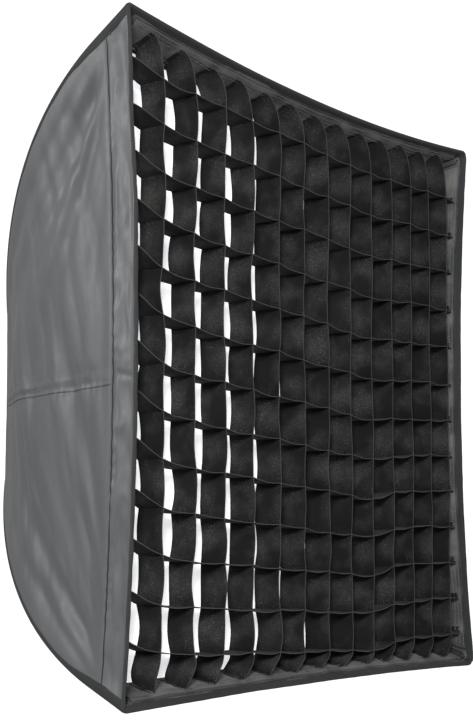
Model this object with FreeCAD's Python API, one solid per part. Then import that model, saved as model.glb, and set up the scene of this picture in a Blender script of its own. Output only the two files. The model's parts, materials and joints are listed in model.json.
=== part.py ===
"""Square grid softbox: fabric shell on four rods, turning mount, front diffuser and fabric grid.

Frame: origin at the centre of the mount's rear seat, +Y to the rear along the bore, the front at -Y, +Z up.
Depth D is counted rearwards from the front edge; half size S is from the bore's axis to a side.
"""
import FreeCAD
import Part
import math
import os

from FreeCAD import Vector

os.makedirs("parts", exist_ok=True)

# ---- Driving dimensions, mm ----
FRONT_HALF = 400.0            # half of the front opening, corner to corner of the fabric
FRONT_Y = -495.0              # the front edge's place
SIDE_ANGLE = math.radians(17.3)       # front part of the side panels, inwards from the bore's axis
BACK_ANGLE = math.radians(47.0)       # back part of the panels, from the bore's axis
BACK_HALF, BACK_DEPTH = 62.0, 539.0   # a point that the back part's line passes through
SHOULDER_RADIUS = 930.0       # the long curve of the sides
ROD_BEND_RADIUS = 960.0       # the rod that follows it in the corner
SHOULDER_STEPS = 9
REAR_OPENING_HALF = 121.5

EDGE_BOW = {"top": 22.0, "bottom": 6.0, "left": 18.0, "right": 30.0}   # inward bow of the front edge
BOW_END = 350.0               # depth at which the bow has died out
LEAST_BOW = 1.5

FABRIC = 1.2                  # shell panel, with its coating
SOFT_GAP = 0.3                # between layers
TAPE = 1.5                    # hook-and-loop tape
LINING = 0.3
LIP_DEPTH = 48.0
BINDING, BINDING_WIDTH, BINDING_RISE = 1.5, 3.6, 0.8   # rise: over the lip's outer face
WELT, WELT_OUTER, WELT_INNER = 2.0, 3.0, 2.5   # thickness, and reach on both sides of the opening's edge
SEAM_GAP = 0.3
SEAM_DROP = 0.07              # the side panels' seam lies this share of the half size below the middle

GRID_CELLS = 14
STRIP_FRONT, STRIP_REAR = 5.0, 43.0
STRIP_THICKNESS, SLOT_CLEARANCE = 1.0, 0.1
BORDER, BORDER_FRONT = 1.0, 4.0
GRID_LOOP_FRONT, GRID_TAPE_REAR = 2.0, 38.0
CORNER_GAP = 17.0             # bands stop short of the corners, where the rod pockets are

DIFFUSER_DEPTH = 56.0
DIFFUSER_TAPE = 25.0
CLOTH = 0.8

BAFFLE_DEPTH, BAFFLE_HALF = 250.0, 220.0
ELASTIC_WIDTH, ELASTIC_THICKNESS, ELASTIC_LOOP = 10.0, 1.0, 1.3

FIT, ROD_LOOSE = 0.05, 0.2    # clearance of radius, in hard parts and in cloth
ROD_RADIUS, ROD_INSET = 2.5, 11.0
ROD_FRONT = 12.0
ROD_END_BEND, ROD_END_ANGLE = 45.0, math.radians(80.0)   # the rod's bent end, that enters the ring
CAP_RADIUS, CAP_LENGTH, CAP_END = 4.0, 16.0, 2.0
POCKET_RADIUS, POCKET_LENGTH, POCKET_END = 5.6, 34.0, 4.0

RING_OUTER, RING_BORE = 88.0, 68.08
RING_FRONT, RING_REAR = -16.3, -4.3
SOCKET_RADIUS, SOCKET_BORE, SOCKET_LENGTH = 7.0, 2.6, 44.0
SOCKET_START, ROD_END = 84.0, 94.0   # distances from the bore's axis
SET_SCREW_RADIUS, SET_SCREW_HEAD, SET_SCREW_HEAD_HEIGHT = 2.0, 5.0, 6.0
SET_SCREW_AT = 28.0           # from the socket's start

BORE, JOURNAL = 60.0, 68.0
FLANGE_RADIUS, FLANGE_THICKNESS = 75.5, 4.0
SPIGOT_RADIUS, SPIGOT_LENGTH = 66.5, 8.0
LUGS, LUG_RADIUS, LUG_FRONT, LUG_SPAN = 3, 72.0, 5.0, 40.0
JOURNAL_FRONT = -16.6
RETAINER_RADIUS, RETAINER_THICKNESS = 74.0, 3.0
RETAINER_SCREW_CIRCLE, RETAINER_SCREWS = 64.0, 4
RETAINER_THREAD, RETAINER_SCREW_LENGTH = 1.45, 7.0   # radius, and length in the insert
RETAINER_HEAD, RETAINER_HEAD_HEIGHT = 2.7, 2.0

PAD_RADIUS, PAD_INNER, PAD_OUTER, PAD_TRAVEL, PAD_LOOSE = 4.0, 68.3, 75.3, 2.5, 0.06
STUD_RADIUS, KNOB_INNER, KNOB_OUTER, KNOB_RADIUS = 3.0, 93.0, 107.0, 10.0
KNOB_LOBES, LOBE_RADIUS, KNOB_GRIP = 6, 4.0, 6.0   # grip: the stud's length in the knob

SIDES = {"top": 0.0, "right": 90.0, "bottom": 180.0, "left": 270.0}   # turn about the bore's axis
CORNERS = {"top_right": 45.0, "bottom_right": 135.0, "bottom_left": 225.0, "top_left": 315.0}
ORIGIN, AXIS = Vector(0, 0, 0), Vector(0, 1, 0)


def save(shape, node):
    """One file for each sub-part."""
    shape.exportStep("parts/" + node + ".step")
    print(node, len(shape.Solids), "solids, valid", shape.isValid(), round(shape.Volume))


def cylinder(radius, y0, y1):
    """A cylinder on the bore's axis."""
    return Part.makeCylinder(radius, y1 - y0, Vector(0, y0, 0), AXIS)


def turned(shape, angle):
    """The shape turned about the bore's axis from the top towards the right (+X)."""
    result = shape.copy()
    result.rotate(ORIGIN, AXIS, angle)
    return result


# ---- The box's outline, as depth and half size ----
class Outline:
    """Straight front part, long curve, straight back; on the diagonal it serves the rods."""

    def __init__(self, spread, radius):
        self.radius = radius
        self.front = FRONT_HALF * spread
        self.side = math.atan(math.tan(SIDE_ANGLE) * spread)
        self.back = math.atan(math.tan(BACK_ANGLE) * spread)
        self.back_half = BACK_HALF * spread
        side_at_centre = self.front - radius / math.cos(self.side)
        back_at_centre = self.back_half - radius / math.cos(self.back)
        slope_side, slope_back = math.tan(self.side), math.tan(self.back)
        depth = (back_at_centre + BACK_DEPTH * slope_back - side_at_centre) / (slope_back - slope_side)
        self.centre = (depth, side_at_centre - depth * slope_side)

    def on_side(self, depth, inset):
        return (depth, self.front - depth * math.tan(self.side) - inset / math.cos(self.side))

    def back_depth(self, half):
        return BACK_DEPTH + (self.back_half - half) / math.tan(self.back)

    def on_back_depth(self, depth, inset):
        rise = (BACK_DEPTH - depth) * math.tan(self.back)
        return (depth, self.back_half + rise - inset / math.cos(self.back))

    def on_shoulder(self, share, inset):
        angle = self.side + share * (self.back - self.side)
        radius = self.radius - inset
        return (self.centre[0] + radius * math.sin(angle), self.centre[1] + radius * math.cos(angle))

    def share_at(self, depth, inset):
        """How far along the curve a depth lies, from 0 to 1."""
        angle = math.asin((depth - self.centre[0]) / (self.radius - inset))
        return (angle - self.side) / (self.back - self.side)


PANEL = Outline(1.0, SHOULDER_RADIUS)
DIAGONAL = Outline(math.sqrt(2.0), ROD_BEND_RADIUS)
REAR_DEPTH = PANEL.back_depth(REAR_OPENING_HALF)


def bow(side, depth):
    """How far the middle of a side lies inside the line between its corners."""
    return max(LEAST_BOW, EDGE_BOW[side] * (1.0 - depth / BOW_END))


def drop_at(side, depth, place, half):
    """How far a bowed side lies inside the straight line, at a place along it."""
    return bow(side, depth) * (1.0 - (place / half) ** 2)


def across(side, station, start, end, corner_gap):
    """A bowed line across a side of the box, between two shares of its half width from -1 to 1."""
    depth, half = station
    reach = half - corner_gap
    points = []
    for share in (start, (start + end) / 2.0, end):
        place = share * reach
        points.append(Vector(place, FRONT_Y + depth, half - drop_at(side, depth, place, half)))
    return Part.Arc(*points).toShape()


def sheet(side, outer, inner, start=-1.0, end=1.0, corner_gap=SEAM_GAP):
    """A closed solid between an outer and an inner surface, each given by stations from front to rear."""
    wires = []
    for out_station, in_station in zip(outer, inner):
        out_edge = across(side, out_station, start, end, corner_gap)
        in_edge = across(side, in_station, start, end, corner_gap)
        out_ends = [vertex.Point for vertex in out_edge.Vertexes]
        in_ends = [vertex.Point for vertex in in_edge.Vertexes]
        last = Part.makeLine(out_ends[1], in_ends[1])
        first = Part.makeLine(in_ends[0], out_ends[0])
        wires.append(Part.Wire([out_edge, last, in_edge, first]))
    return turned(Part.makeLoft(wires, True, True), SIDES[side])


def band(side, front, rear, inset, thickness, corner_gap=SEAM_GAP):
    """A straight strip that lies on the side panel."""
    outer = [PANEL.on_side(depth, inset) for depth in (front, rear)]
    inner = [PANEL.on_side(depth, inset + thickness) for depth in (front, rear)]
    return sheet(side, outer, inner, corner_gap=corner_gap)


def bands(*sizes, **options):
    """The same strip on all four sides."""
    return Part.makeCompound([band(side, *sizes, **options) for side in SIDES])


def long_panel(side, front, inset, thickness, start=-1.0, end=1.0):
    """A panel from the given depth round the shoulder to the rear opening."""
    shares = [step / SHOULDER_STEPS for step in range(SHOULDER_STEPS + 1)]
    shares = [share for share in shares if PANEL.on_shoulder(share, 0.0)[0] > front + 5.0]
    surfaces = []
    for level in (inset, inset + thickness):
        stations = [PANEL.on_side(front, level)]
        stations += [PANEL.on_shoulder(share, level) for share in shares]
        stations.append(PANEL.on_back_depth(REAR_DEPTH, level))
        surfaces.append(stations)
    return sheet(side, surfaces[0], surfaces[1], start, end)


def bowed_square(depth, inset, thickness):
    """A flat cloth with bowed edges and cut corners, across the box at one depth."""
    half = PANEL.on_side(depth, inset)[1]
    reach = half - CORNER_GAP
    edges = []
    for side, angle in SIDES.items():
        middle = Vector(0, FRONT_Y + depth, half - bow(side, depth))
        end_height = half - drop_at(side, depth, reach, half)
        ends = [Vector(sign * reach, middle.y, end_height) for sign in (-1.0, 1.0)]
        edge = Part.Arc(ends[0], middle, ends[1]).toShape()
        edges.append(turned(edge, angle))
    joins = []
    for here, after in zip(edges, edges[1:] + edges[:1]):
        joins.append(Part.makeLine(here.Vertexes[1].Point, after.Vertexes[0].Point))
    wire = Part.Wire([edge for pair in zip(edges, joins) for edge in pair])
    return Part.Face(wire).extrude(Vector(0, thickness, 0))


# ---- Shell ----
def make_shell():
    panel_front = LIP_DEPTH + SEAM_GAP
    lining_front = DIFFUSER_DEPTH + DIFFUSER_TAPE + 3.0
    lining_inset = FABRIC + SOFT_GAP
    for side in ("top", "bottom"):
        save(long_panel(side, panel_front, 0.0, FABRIC), "shell_panel_" + side)
    gap = SEAM_GAP / FRONT_HALF
    halves = {"left_lower": (-1.0, -SEAM_DROP - gap), "left_upper": (-SEAM_DROP + gap, 1.0),
              "right_upper": (-1.0, SEAM_DROP - gap), "right_lower": (SEAM_DROP + gap, 1.0)}
    for name, (start, end) in halves.items():
        side = name.split("_")[0]
        save(long_panel(side, panel_front, 0.0, FABRIC, start, end), "shell_panel_" + name)
    for side in SIDES:
        save(band(side, 0.0, LIP_DEPTH, 0.0, FABRIC), "lip_" + side)
        save(long_panel(side, lining_front, lining_inset, LINING), "silver_lining_" + side)
    save(bands(-SOFT_GAP - BINDING, -SOFT_GAP, -BINDING_RISE, BINDING_WIDTH), "front_edge_binding")
    tape_inset = FABRIC + SOFT_GAP
    save(bands(GRID_LOOP_FRONT, GRID_TAPE_REAR, tape_inset, TAPE, corner_gap=CORNER_GAP), "grid_loop_tape")
    tape_rear = DIFFUSER_DEPTH + DIFFUSER_TAPE
    save(bands(DIFFUSER_DEPTH, tape_rear, tape_inset, TAPE, corner_gap=CORNER_GAP), "diffuser_loop_tape")
    make_rear_binding()


def make_rear_binding():
    """A square welt round the rear opening."""
    front = FRONT_Y + REAR_DEPTH + SOFT_GAP
    outer = 2.0 * (REAR_OPENING_HALF + WELT_OUTER)
    inner = 2.0 * (REAR_OPENING_HALF - WELT_INNER)
    welt = Part.makeBox(outer, WELT, outer, Vector(-outer / 2, front, -outer / 2))
    hole = Part.makeBox(inner, 3.0 * WELT, inner, Vector(-inner / 2, front - WELT, -inner / 2))
    save(welt.cut(hole), "rear_edge_binding")


# ---- Rods ----
def diagonal_point(station):
    """A point in the vertical plane before it's turned into a corner."""
    return Vector(0, FRONT_Y + station[0], station[1])


def rod_direction(first, second):
    return (diagonal_point(second) - diagonal_point(first)).normalize()


def rod_end():
    """Middle, end and direction of the bent end, which turns the rod into its socket."""
    depth, half = DIAGONAL.on_shoulder(1.0, ROD_INSET)
    depth -= ROD_END_BEND * math.sin(DIAGONAL.back)
    half -= ROD_END_BEND * math.cos(DIAGONAL.back)
    stations = []
    for angle in ((DIAGONAL.back + ROD_END_ANGLE) / 2.0, ROD_END_ANGLE):
        stations.append((depth + ROD_END_BEND * math.sin(angle), half + ROD_END_BEND * math.cos(angle)))
    outwards = Vector(0, -math.cos(ROD_END_ANGLE), math.sin(ROD_END_ANGLE))
    return stations[0], stations[1], outwards


def on_rod_end(radius):
    """The point of the rod's straight end at a distance from the bore's axis."""
    end, outwards = rod_end()[1:]
    foot = diagonal_point(end)
    return foot + outwards * ((radius - foot.z) / outwards.z)


def make_rods():
    front = DIAGONAL.on_side(ROD_FRONT, ROD_INSET)
    bend = [DIAGONAL.on_shoulder(share, ROD_INSET) for share in (0.0, 0.5, 1.0)]
    end_middle, end, _ = rod_end()
    end_bend = [bend[2], end_middle, end]
    path = Part.Wire([
        Part.makeLine(diagonal_point(front), diagonal_point(bend[0])),
        Part.Arc(*[diagonal_point(station) for station in bend]).toShape(),
        Part.Arc(*[diagonal_point(station) for station in end_bend]).toShape(),
        Part.makeLine(diagonal_point(end), on_rod_end(ROD_END)),
    ])
    along = rod_direction(front, bend[0])
    section = Part.Wire(Part.makeCircle(ROD_RADIUS, diagonal_point(front), along))
    rod = path.makePipeShell([section], True, True)
    for corner, angle in CORNERS.items():
        save(turned(rod, angle), "rod_" + corner)

    tip = diagonal_point(front) - along * SOFT_GAP
    cap_end = tip - along * CAP_END
    cap = Part.makeCylinder(CAP_RADIUS, CAP_LENGTH, cap_end, along)
    cap = cap.cut(Part.makeCylinder(ROD_RADIUS + FIT, CAP_LENGTH, tip, along))
    pocket = Part.makeCylinder(POCKET_RADIUS, POCKET_LENGTH, tip - along * POCKET_END, along)
    inside = Part.makeCylinder(CAP_RADIUS + ROD_LOOSE, POCKET_LENGTH, cap_end - along * SOFT_GAP, along)
    pocket = pocket.cut(inside)
    save(Part.makeCompound([turned(cap, angle) for angle in CORNERS.values()]), "rod_tip_caps")
    save(Part.makeCompound([turned(pocket, angle) for angle in CORNERS.values()]), "corner_pockets")


# ---- Speed ring ----
def make_ring():
    """Ring with four rod sockets and the brake's hole; the set screws close on the rods."""
    ring = cylinder(RING_OUTER, RING_FRONT, RING_REAR)
    near, outwards = on_rod_end(SOCKET_START), rod_end()[2]
    screw_at = near + outwards * SET_SCREW_AT
    socket = Part.makeCylinder(SOCKET_RADIUS, SOCKET_LENGTH, near, outwards)
    hole = Part.makeCylinder(SOCKET_BORE, SOCKET_LENGTH, on_rod_end(ROD_END - 1.0), outwards)
    behind = Vector(0, outwards.z, -outwards.y)
    foot = screw_at + behind * SOCKET_BORE
    thread = Part.makeCylinder(SET_SCREW_RADIUS + FIT, SOCKET_RADIUS * 2, screw_at, behind)
    shank = Part.makeCylinder(SET_SCREW_RADIUS, SOCKET_RADIUS, foot, behind)
    head_foot = foot + behind * (SOCKET_RADIUS - ROD_RADIUS + 0.5)
    head = Part.makeCylinder(SET_SCREW_HEAD, SET_SCREW_HEAD_HEIGHT, head_foot, behind)
    screws = []
    for angle in CORNERS.values():
        ring = ring.fuse(turned(socket, angle))
        screws.append(turned(shank.fuse(head), angle))
    for angle in CORNERS.values():
        ring = ring.cut(turned(hole, angle)).cut(turned(thread, angle))
    ring = ring.cut(cylinder(RING_BORE, RING_FRONT - 1.0, RING_REAR + 1.0))
    middle = Vector(0, (RING_FRONT + RING_REAR) / 2.0, 0)
    down = Vector(0, 0, -1)
    ring = ring.cut(Part.makeCylinder(PAD_RADIUS + PAD_LOOSE, PAD_OUTER + PAD_TRAVEL + 0.5, middle, down))
    ring = ring.cut(Part.makeCylinder(STUD_RADIUS + PAD_LOOSE, RING_OUTER + 1.0, middle, down))
    save(ring, "speed_ring")
    save(Part.makeCompound(screws), "socket_set_screws")

    pad = Part.makeCylinder(PAD_RADIUS, PAD_OUTER - PAD_INNER, middle + down * PAD_INNER, down)
    save(pad, "brake_pad")
    stud_inner = PAD_OUTER + SOFT_GAP
    stud_length = KNOB_INNER + KNOB_GRIP - stud_inner
    stud = Part.makeCylinder(STUD_RADIUS, stud_length, middle + down * stud_inner, down)
    thickness = KNOB_OUTER - KNOB_INNER
    knob_foot = middle + down * KNOB_INNER
    knob = Part.makeCylinder(KNOB_RADIUS - 1.5, thickness, knob_foot, down)
    for lobe in range(KNOB_LOBES):
        turn = math.radians(lobe * 360.0 / KNOB_LOBES)
        place = knob_foot + Vector(math.cos(turn), math.sin(turn), 0) * (KNOB_RADIUS - LOBE_RADIUS)
        knob = knob.fuse(Part.makeCylinder(LOBE_RADIUS, thickness, place, down))
    knob = knob.removeSplitter()
    knob = knob.cut(Part.makeCylinder(STUD_RADIUS, KNOB_GRIP, knob_foot, down))
    save(stud, "lock_stud")
    save(knob, "lock_knob")


# ---- Mount insert ----
def make_insert():
    body = cylinder(FLANGE_RADIUS, -FLANGE_THICKNESS, 0.0)
    body = body.fuse(cylinder(SPIGOT_RADIUS, -1.0, SPIGOT_LENGTH))
    body = body.fuse(cylinder(JOURNAL, JOURNAL_FRONT + SOFT_GAP, -1.0))
    lug_foot, lug_length = Vector(0, LUG_FRONT, 0), SPIGOT_LENGTH - LUG_FRONT
    for lug in range(LUGS):
        sector = Part.makeCylinder(LUG_RADIUS, lug_length, lug_foot, AXIS, LUG_SPAN)
        body = body.fuse(turned(sector, lug * 360.0 / LUGS))
    body = body.cut(cylinder(BORE, JOURNAL_FRONT - 1.0, SPIGOT_LENGTH + 1.0)).removeSplitter()
    retainer_rear = JOURNAL_FRONT
    retainer_front = retainer_rear - RETAINER_THICKNESS
    retainer = cylinder(RETAINER_RADIUS, retainer_front, retainer_rear)
    retainer = retainer.cut(cylinder(BORE + 1.0, retainer_front - 1.0, retainer_rear + 1.0))
    screws = []
    for number in range(RETAINER_SCREWS):
        foot = Vector(0, retainer_front, RETAINER_SCREW_CIRCLE)
        angle = (number + 0.25) * 360.0 / RETAINER_SCREWS
        length = RETAINER_THICKNESS + RETAINER_SCREW_LENGTH
        hole = Part.makeCylinder(RETAINER_THREAD + FIT, length + 1.0, foot - AXIS, AXIS)
        clearance = Part.makeCylinder(RETAINER_THREAD + 3 * FIT, RETAINER_THICKNESS + 2.0, foot - AXIS, AXIS)
        shank = Part.makeCylinder(RETAINER_THREAD, length, foot - AXIS * FIT, AXIS)
        head_foot = foot - AXIS * (RETAINER_HEAD_HEIGHT + FIT)
        head = Part.makeCylinder(RETAINER_HEAD, RETAINER_HEAD_HEIGHT, head_foot, AXIS)
        retainer = retainer.cut(turned(clearance, angle))
        body = body.cut(turned(hole, angle))
        screws.append(turned(shank.fuse(head), angle))
    save(body, "bayonet_insert")
    save(retainer, "insert_retainer")
    save(Part.makeCompound(screws), "retainer_screws")


# ---- Diffusers ----
def make_diffusers():
    inset = FABRIC + SOFT_GAP + TAPE + SOFT_GAP
    save(bowed_square(DIFFUSER_DEPTH, inset + TAPE + SOFT_GAP, CLOTH), "front_diffuser_cloth")
    tape_front = DIFFUSER_DEPTH + SOFT_GAP
    tape_rear = DIFFUSER_DEPTH + DIFFUSER_TAPE
    save(bands(tape_front, tape_rear, inset, TAPE, corner_gap=CORNER_GAP), "front_diffuser_hook_tape")

    size = 2.0 * BAFFLE_HALF
    corner = Vector(-BAFFLE_HALF, FRONT_Y + BAFFLE_DEPTH, -BAFFLE_HALF)
    save(Part.makeBox(size, CLOTH, size, corner), "inner_baffle")
    here = DIAGONAL.share_at(BAFFLE_DEPTH, ROD_INSET)
    near_here = [DIAGONAL.on_shoulder(here + step, ROD_INSET) for step in (-0.01, 0.0, 0.01)]
    rod_here = diagonal_point(near_here[1])
    along = rod_direction(near_here[0], near_here[2])
    start = BAFFLE_HALF * math.sqrt(2.0) + SOFT_GAP
    strap_foot = Vector(-ELASTIC_WIDTH / 2, rod_here.y, start)
    strap = Part.makeBox(ELASTIC_WIDTH, ELASTIC_THICKNESS, rod_here.z - start, strap_foot)
    loop_foot = rod_here - along * (ELASTIC_WIDTH / 2)
    strap = strap.fuse(Part.makeCylinder(ROD_RADIUS + ELASTIC_LOOP, ELASTIC_WIDTH, loop_foot, along))
    rod_foot = rod_here - along * (ELASTIC_WIDTH * 1.5)
    strap = strap.cut(Part.makeCylinder(ROD_RADIUS + ROD_LOOSE, 3 * ELASTIC_WIDTH, rod_foot, along))
    straps = [turned(strap, angle).Solids[0] for angle in CORNERS.values()]
    save(Part.makeCompound(straps), "baffle_elastics")


# ---- Grid ----
def strip_limits(low_side, high_side, place, depth, inset):
    """Where a strip that lies at the given place meets the bowed border on both of its ends."""
    half = PANEL.on_side(depth, inset)[1]
    return drop_at(low_side, depth, place, half) - half, half - drop_at(high_side, depth, place, half)


def strip_outline(low_side, high_side, place, crossings, slots_at_rear, inset):
    """Corners of one strip, as length and depth, with a slot at each crossing."""
    front_low, front_high = strip_limits(low_side, high_side, place, STRIP_FRONT, inset)
    rear_low, rear_high = strip_limits(low_side, high_side, place, STRIP_REAR, inset)
    middle = (STRIP_FRONT + STRIP_REAR) / 2.0
    half_slot = STRIP_THICKNESS / 2.0 + SLOT_CLEARANCE
    front_points, rear_points = [(front_low, STRIP_FRONT)], [(rear_low, STRIP_REAR)]
    slotted = rear_points if slots_at_rear else front_points
    edge, floor = STRIP_FRONT, middle + SLOT_CLEARANCE
    if slots_at_rear:
        edge, floor = STRIP_REAR, middle - SLOT_CLEARANCE
    for crossing in crossings:
        left, right = crossing - half_slot, crossing + half_slot
        slotted += [(left, edge), (left, floor), (right, floor), (right, edge)]
    front_points.append((front_high, STRIP_FRONT))
    rear_points.append((rear_high, STRIP_REAR))
    return front_points + rear_points[::-1]


def make_grid():
    tape_inset = FABRIC + SOFT_GAP + TAPE + SOFT_GAP
    border_inset = tape_inset + TAPE + SOFT_GAP
    strip_inset = border_inset + BORDER + SOFT_GAP
    pitch = 2.0 * PANEL.on_side(STRIP_FRONT, strip_inset)[1] / GRID_CELLS
    places = [pitch * (number - GRID_CELLS / 2.0) for number in range(1, GRID_CELLS)]
    upright, level = [], []
    for place in places:
        near = place - STRIP_THICKNESS / 2.0
        outline = strip_outline("bottom", "top", place, places, False, strip_inset)
        corners = [Vector(near, FRONT_Y + depth, length) for length, depth in outline]
        face = Part.Face(Part.makePolygon(corners + corners[:1]))
        upright.append(face.extrude(Vector(STRIP_THICKNESS, 0, 0)))
        outline = strip_outline("left", "right", place, places, True, strip_inset)
        corners = [Vector(length, FRONT_Y + depth, near) for length, depth in outline]
        face = Part.Face(Part.makePolygon(corners + corners[:1]))
        level.append(face.extrude(Vector(0, 0, STRIP_THICKNESS)))
    save(Part.makeCompound(upright), "grid_vertical_strips")
    save(Part.makeCompound(level), "grid_horizontal_strips")
    save(bands(BORDER_FRONT, GRID_TAPE_REAR, tape_inset, TAPE, corner_gap=CORNER_GAP), "grid_hook_tape")
    save(bands(BORDER_FRONT, STRIP_REAR, border_inset, BORDER, corner_gap=CORNER_GAP), "grid_border")


make_shell()
make_rods()
make_ring()
make_insert()
make_diffusers()
make_grid()
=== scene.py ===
"""Square grid softbox: fabric shell, grid, diffusers and their finishes round the fixed frame.

Metres, in the frame's own axes: +Y to the rear along the ring's bore, the front towards -Y, +Z up.
Depth is counted rearwards from the front edge. A side is described as the top one and turned into place.
"""
import json
import math
import random

import bpy
import numpy as np
from mathutils import Matrix, Vector, noise


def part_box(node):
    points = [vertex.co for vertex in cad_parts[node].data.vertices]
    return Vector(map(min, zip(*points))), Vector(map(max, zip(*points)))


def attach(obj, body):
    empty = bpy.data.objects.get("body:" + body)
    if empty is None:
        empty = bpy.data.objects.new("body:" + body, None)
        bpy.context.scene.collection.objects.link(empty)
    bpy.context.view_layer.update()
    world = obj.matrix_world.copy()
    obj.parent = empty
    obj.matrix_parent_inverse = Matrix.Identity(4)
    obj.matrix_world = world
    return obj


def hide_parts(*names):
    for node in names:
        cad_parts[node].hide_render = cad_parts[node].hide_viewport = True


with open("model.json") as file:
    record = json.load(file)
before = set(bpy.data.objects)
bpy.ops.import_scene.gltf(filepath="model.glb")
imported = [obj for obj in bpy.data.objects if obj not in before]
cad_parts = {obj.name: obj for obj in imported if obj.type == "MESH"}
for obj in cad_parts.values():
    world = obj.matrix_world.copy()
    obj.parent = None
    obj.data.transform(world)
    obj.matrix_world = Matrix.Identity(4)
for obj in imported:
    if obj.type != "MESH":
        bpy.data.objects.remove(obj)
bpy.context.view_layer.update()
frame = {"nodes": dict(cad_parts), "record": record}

SLOTS = {part["node"]: part["material_slot"] for part in frame["record"]["subparts"]}

# ---- Driving sizes ----
FRONT_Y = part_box("lip_top")[0].y
FRONT_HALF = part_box("lip_top")[1].x + 0.0003
SIDE_ANGLE, BACK_ANGLE = math.radians(17.3), math.radians(47.0)
CURVE_RADIUS = 0.930
BACK_HALF, BACK_DEPTH = 0.062, 0.539
REAR_HALF = 0.1215
EDGE_BOW = {"top": 0.022, "bottom": 0.006, "left": 0.018, "right": 0.030}
BOW_END, LEAST_BOW = 0.350, 0.0015
SIDE_TURN = {"top": 0.0, "right": 90.0, "bottom": 180.0, "left": 270.0}

LIP_DEPTH = 0.048
PANEL_LENGTH, LINING_LENGTH = 0.53, 0.49
CLOTH_THICKNESS = 0.0010
SEAM_DROP = 0.07
SEAM_PLACE = {"left": -SEAM_DROP, "right": SEAM_DROP}
SEAM_LAP = 0.006
STITCH_DEPTH = LIP_DEPTH - 0.0022
BINDING_WIDTH = 0.016
THREAD_HALF, TAPE_THREAD_HALF, ROW_STITCHES = 0.0004, 0.0007, 240
CORNER_TAPE, CORNER_LENGTH = 0.0065, 0.60
CORNER_GAP = 0.017
TAPE, LAYER_GAP = 0.0015, 0.0003
TAPE_INSET, LINING_INSET = 0.0015, 0.0019
HOOK_INSET = TAPE_INSET + TAPE + LAYER_GAP

GRID_CELLS = 14
STRIP_FRONT, STRIP_REAR = 0.005, 0.043
STRIP_THICKNESS = 0.0009
GRID_TAPE_REAR, BORDER_REAR = 0.038, 0.049
BORDER_INSET = 0.0070
SEGMENTS, LANES = 8, 6
CELL = 2.0 * (FRONT_HALF - STRIP_FRONT * math.tan(SIDE_ANGLE) - BORDER_INSET / math.cos(SIDE_ANGLE)) / GRID_CELLS
FLANGE, FLANGE_STEPS, FLANGE_SINK = 0.007, 2, 0.0002
LOWEST = 0.28

DIFFUSER_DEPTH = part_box("front_diffuser_cloth")[0].y - FRONT_Y
DIFFUSER_TAPE, DIFFUSER_INSET = 0.025, 0.0053
BAFFLE_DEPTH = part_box("inner_baffle")[0].y - FRONT_Y
BAFFLE_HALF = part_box("inner_baffle")[1].x
ROD_INSET, ROD_FRONT, POCKET_LENGTH = 0.011, 0.012, 0.034

random.seed(41)


# ---- Camera, light and floor ----
def aim(obj, place, direction):
    obj.location = place
    obj.rotation_euler = direction.to_track_quat("-Z", "Y").to_euler()


def make_camera():
    azimuth, elevation = math.radians(-52.5), math.radians(-4.84)
    back = Vector((math.sin(azimuth) * math.cos(elevation), -math.cos(azimuth) * math.cos(elevation),
                   math.sin(elevation)))
    camera = bpy.data.objects.new("camera", bpy.data.cameras.new("camera"))
    camera.data.sensor_width = 36.0
    camera.data.lens = 71.8
    camera.data.shift_y = 0.0833
    aim(camera, Vector((-1.587, FRONT_Y - 1.068, -0.213)), -back)
    bpy.context.scene.collection.objects.link(camera)
    bpy.context.scene.camera = camera


def make_lamp(name, place, target, size, power):
    lamp = bpy.data.objects.new(name, bpy.data.lights.new(name, "AREA"))
    lamp.data.shape = "SQUARE"
    lamp.data.size = size
    lamp.data.energy = power
    aim(lamp, Vector(place), Vector(target) - Vector(place))
    bpy.context.scene.collection.objects.link(lamp)


def make_stage():
    make_lamp("key_light", (-2.3, -1.9, 0.45), (-0.3, -0.3, 0.0), 0.4, 84.0)
    make_lamp("side_light", (-1.6, 2.2, 0.9), (-0.3, -0.25, 0.0), 0.7, 36.0)
    make_lamp("front_light", (1.2, -3.6, 1.2), (0.0, -0.4, 0.0), 1.6, 30.0)
    world = bpy.data.worlds.new("studio")
    bpy.context.scene.world = world
    world.use_nodes = True
    tree = world.node_tree
    tree.nodes.clear()
    output = tree.nodes.new("ShaderNodeOutputWorld")
    seen = tree.nodes.new("ShaderNodeLightPath")
    bright = tree.nodes.new("ShaderNodeBackground")
    soft = tree.nodes.new("ShaderNodeBackground")
    mix = tree.nodes.new("ShaderNodeMixShader")
    bright.inputs["Strength"].default_value = 1.15
    soft.inputs["Strength"].default_value = 0.24
    for shader in (bright, soft):
        shader.inputs["Color"].default_value = (1.0, 1.0, 1.0, 1.0)
    tree.links.new(seen.outputs["Is Camera Ray"], mix.inputs["Fac"])
    tree.links.new(soft.outputs["Background"], mix.inputs[1])
    tree.links.new(bright.outputs["Background"], mix.inputs[2])
    tree.links.new(mix.outputs["Shader"], output.inputs["Surface"])

    bpy.ops.mesh.primitive_plane_add(size=40.0, location=(0.0, 0.0, -1.6))
    floor = bpy.context.object
    floor.name = "floor"
    floor.data.materials.append(MATERIALS["floor"])
    bpy.context.scene.view_settings.view_transform = "Standard"


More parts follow.
